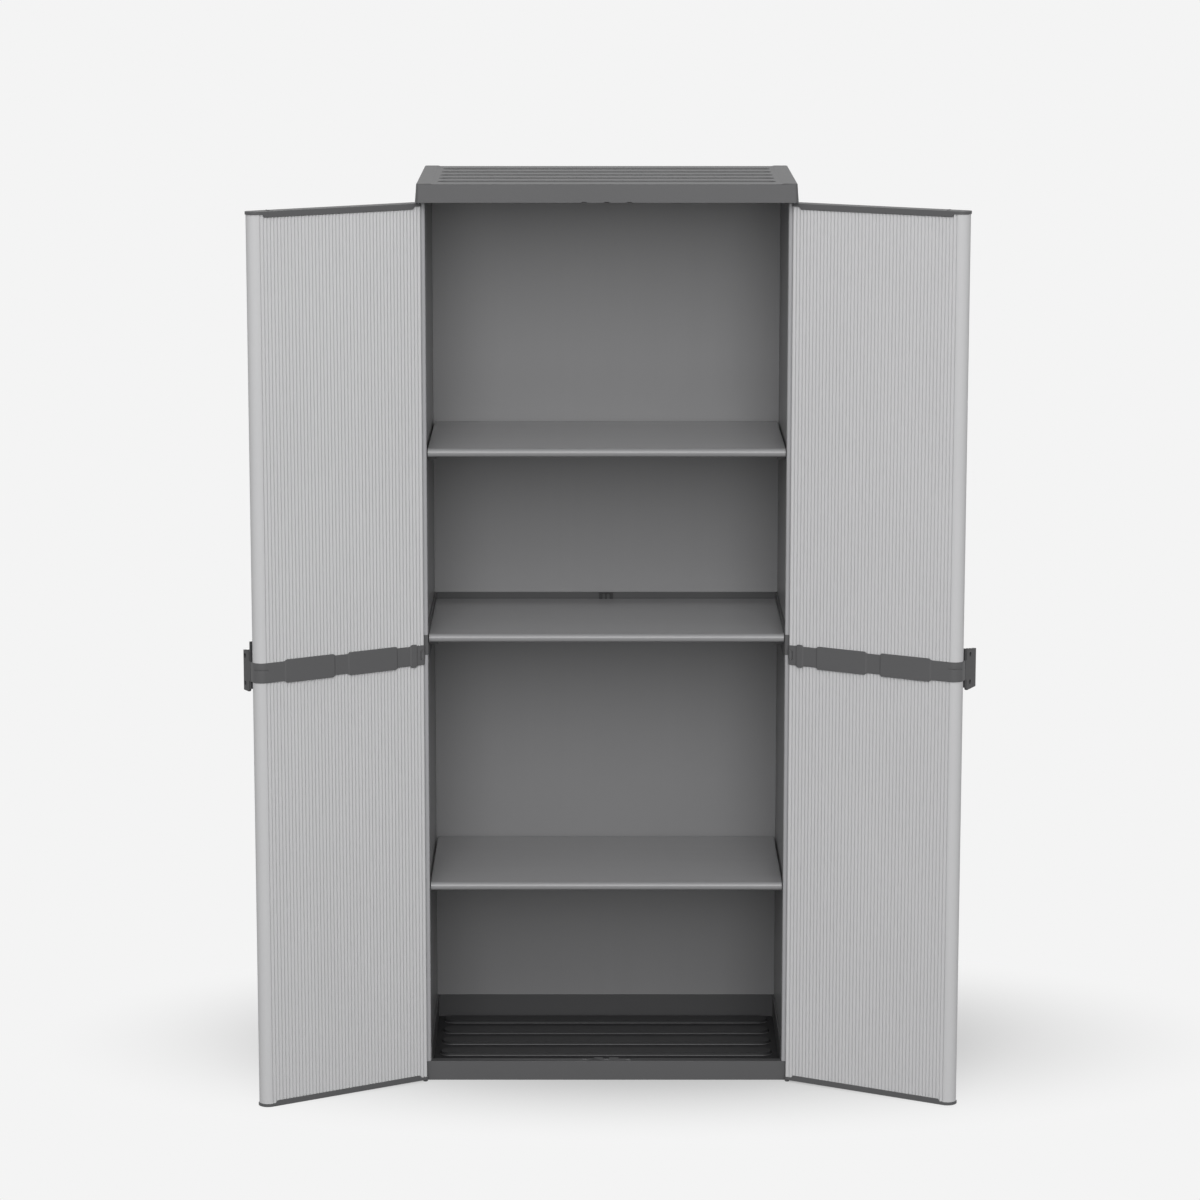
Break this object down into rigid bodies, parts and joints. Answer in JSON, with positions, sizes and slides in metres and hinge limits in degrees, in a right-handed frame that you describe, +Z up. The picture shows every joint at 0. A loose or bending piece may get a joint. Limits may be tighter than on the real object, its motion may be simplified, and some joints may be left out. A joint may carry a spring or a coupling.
{
  "type": "storage cabinet",
  "caption": "Tall free-standing resin cabinet with fluted double doors on pin hinges, shelves on pegs, a base tray and a grooved top cover.",
  "frame": {"origin": "on the floor, below the centre of the top cover's plan", "axes": "+Z up, -Y out of the doors' side, +X to the right of someone who faces the doors"},
  "size_m": [1.3075, 0.5302, 1.66],
  "materials": {
    "dark_resin": "moulded, fine spark texture, satin",
    "door_resin": "extruded, fluted, satin",
    "panel_resin": "extruded, smooth, satin",
    "steel": "zinc plated",
    "nylon": "dark, moulded"
  },
  "bodies": {
    "cabinet": {"base_tray": "dark_resin", "top_cover": "dark_resin", "left_mid_rail": "dark_resin", "right_mid_rail": "dark_resin", "back_mid_rail": "dark_resin", "back_rail_clip": "dark_resin", "left_lower_side_panel": "panel_resin", "right_lower_side_panel": "panel_resin", "left_upper_side_panel": "panel_resin", "right_upper_side_panel": "panel_resin", "lower_back_panel": "panel_resin", "upper_back_panel": "panel_resin", "mid_shelf": "panel_resin", "upper_shelf_pegs": "dark_resin", "lower_shelf_pegs": "dark_resin", "upper_hinge_pins": "steel", "middle_hinge_pins": "steel", "lower_hinge_pins": "steel", "hinge_washers": "nylon"},
    "left_door": {"left_door_upper_panel": "door_resin", "left_door_lower_panel": "door_resin", "left_door_top_cap": "dark_resin", "left_door_bottom_cap": "dark_resin", "left_door_mid_rail": "dark_resin", "left_handle_lug": "dark_resin", "left_lug_screws": "steel"},
    "right_door": {"right_door_upper_panel": "door_resin", "right_door_lower_panel": "door_resin", "right_door_top_cap": "dark_resin", "right_door_bottom_cap": "dark_resin", "right_door_mid_rail": "dark_resin", "right_handle_lug": "dark_resin", "right_lug_screws": "steel"},
    "upper_shelf_board": {"upper_shelf": "panel_resin"},
    "lower_shelf_board": {"lower_shelf": "panel_resin"}
  },
  "joints": [
    {"name": "left_door_hinge", "type": "hinge", "parent": "cabinet", "child": "left_door", "pos_m": [-0.334, -0.1715, 0], "axis": [0, 0, -1], "range_deg": [-150, 8]},
    {"name": "right_door_hinge", "type": "hinge", "parent": "cabinet", "child": "right_door", "pos_m": [0.334, -0.1715, 0], "axis": [0, 0, 1], "range_deg": [-152, 6]},
    {"name": "upper_shelf_lift", "type": "slide", "parent": "cabinet", "child": "upper_shelf_board", "axis": [0, 0, 1], "range_m": [0, 0.04]},
    {"name": "lower_shelf_lift", "type": "slide", "parent": "cabinet", "child": "lower_shelf_board", "axis": [0, 0, 1], "range_m": [0, 0.04]}
  ]
}
